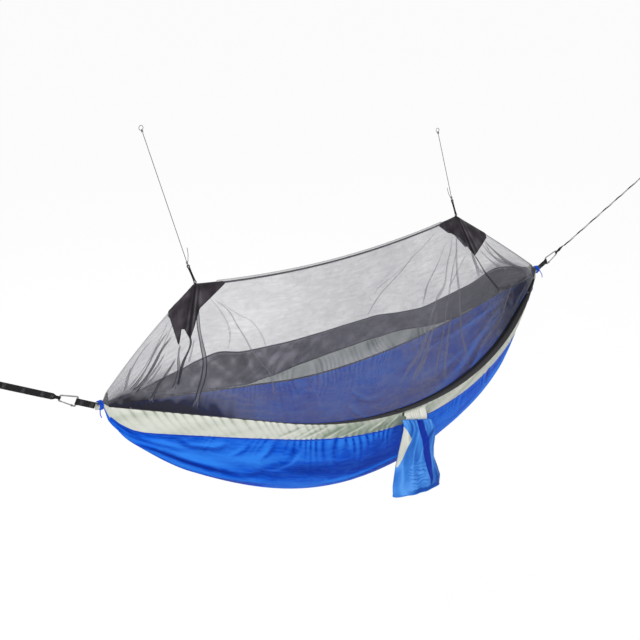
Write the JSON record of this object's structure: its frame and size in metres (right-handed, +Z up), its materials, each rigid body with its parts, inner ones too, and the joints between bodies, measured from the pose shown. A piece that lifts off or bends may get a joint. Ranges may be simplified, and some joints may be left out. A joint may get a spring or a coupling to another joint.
{
  "type": "hammock tent",
  "caption": "Gathered-end hammock with a zipped insect net on two cord-held peaks, clipped by carabiners to tree straps, with a sewn-on stuff sack.",
  "frame": {"origin": "where the left tree strap meets its sewn anchor eye", "axes": "+X along the hammock towards the right anchor, +Y away from the zipped side, +Z up"},
  "size_m": [4.0011, 0.6255, 1.7792],
  "materials": {
    "blue_nylon": "ripstop nylon, soft sheen",
    "sage_nylon": "ripstop nylon, soft sheen",
    "dark_nylon": "ripstop nylon, soft sheen",
    "net": "fine insect net",
    "black_tape": "woven tape and moulded coil",
    "grey_metal": "dark anodised",
    "webbing": "woven webbing",
    "grey_cord": "braided cord",
    "blue_cord": "braided cord",
    "sack_blue": "thin nylon, crumpled",
    "stripe_blue": "thin nylon, crumpled"
  },
  "bodies": {
    "anchors": {"left_anchor_eye": "webbing", "right_anchor_eye": "webbing"},
    "hammock": {"bed_panel": "blue_nylon", "near_side_band": "sage_nylon", "far_side_band": "sage_nylon", "far_net_band": "dark_nylon", "near_net": "net", "far_net": "net", "ridge_seam": "net", "ridge_tape": "black_tape", "zip_tape_inner": "black_tape", "zip_tape_outer": "black_tape", "zip_coil": "black_tape", "zip_stop_left": "grey_metal", "zip_stop_right": "grey_metal", "left_peak_patch": "dark_nylon", "right_peak_patch": "dark_nylon", "left_peak_loop": "black_tape", "right_peak_loop": "black_tape", "left_gather": "sage_nylon", "right_gather": "sage_nylon", "left_gather_cord": "blue_cord", "right_gather_cord": "blue_cord", "left_end_loop": "webbing", "right_end_loop": "webbing", "left_carabiner": "grey_metal", "right_carabiner": "grey_metal", "left_gate_pin": "grey_metal", "right_gate_pin": "grey_metal", "left_tree_strap": "webbing", "right_tree_strap": "webbing", "left_strap_loops": "webbing", "right_strap_loops": "webbing", "sack_tab_left": "sage_nylon", "sack_tab_right": "sage_nylon"},
    "left_gate": {"left_gate": "grey_metal"},
    "right_gate": {"right_gate": "grey_metal"},
    "zip_slider": {"zip_slider": "black_tape"},
    "zip_pull": {"zip_pull": "black_tape"},
    "stuff_sack": {"stuff_sack": "sack_blue", "sack_stripe": "stripe_blue", "sack_side_trim": "sage_nylon"},
    "left_cord": {"left_cord_knot": "grey_cord", "left_net_cord": "grey_cord", "left_cord_top_loop": "grey_cord"},
    "right_cord": {"right_cord_knot": "grey_cord", "right_net_cord": "grey_cord", "right_cord_top_loop": "grey_cord"}
  },
  "joints": [
    {"name": "sway", "type": "hinge", "parent": "anchors", "child": "hammock", "pos_m": [0, 0, 0], "axis": [0.9993, 0, 0.0375], "range_deg": [-15, 15]},
    {"name": "left_gate_hinge", "type": "hinge", "parent": "hammock", "child": "left_gate", "pos_m": [0.33989, 0, -0.19689], "axis": [0, 1, 0], "range_deg": [0, 22], "stiffness_Nm_per_rad": 0.02, "springref_deg": -11.46},
    {"name": "right_gate_hinge", "type": "hinge", "parent": "hammock", "child": "right_gate", "pos_m": [3.0309, 0, -0.2142], "axis": [0, -1, 0], "range_deg": [0, 22], "stiffness_Nm_per_rad": 0.02, "springref_deg": -11.46},
    {"name": "slider_run", "type": "hinge", "parent": "hammock", "child": "zip_slider", "pos_m": [1.81581, 0.88526, 0.59661], "axis": [0, -0.6833, 0.7302], "range_deg": [-20, 28]},
    {"name": "pull_flap", "type": "hinge", "parent": "zip_slider", "child": "zip_pull", "pos_m": [1.74153, -0.28905, -0.53096], "axis": [-0.999, 0.0333, 0.0311], "range_deg": [0, 100]},
    {"name": "sack_swing", "type": "hinge", "parent": "hammock", "child": "stuff_sack", "pos_m": [1.81528, -0.33576, -0.58757], "axis": [-0.9848, 0, 0.1736], "range_deg": [0, 60]},
    {"name": "left_cord_lean", "type": "hinge", "parent": "hammock", "child": "left_cord", "pos_m": [0.91403, 0.051, 0.21768], "axis": [0.9993, 0, 0.0375], "range_deg": [-21, 21]},
    {"name": "right_cord_lean", "type": "hinge", "parent": "hammock", "child": "right_cord", "pos_m": [2.37303, 0.051, 0.21768], "axis": [0.9993, 0, 0.0375], "range_deg": [-22, 22]}
  ],
  "couplings": [
    {"joint": "left_cord_lean", "follows": "sway", "ratio": -1.3114},
    {"joint": "right_cord_lean", "follows": "sway", "ratio": -1.3606}
  ]
}
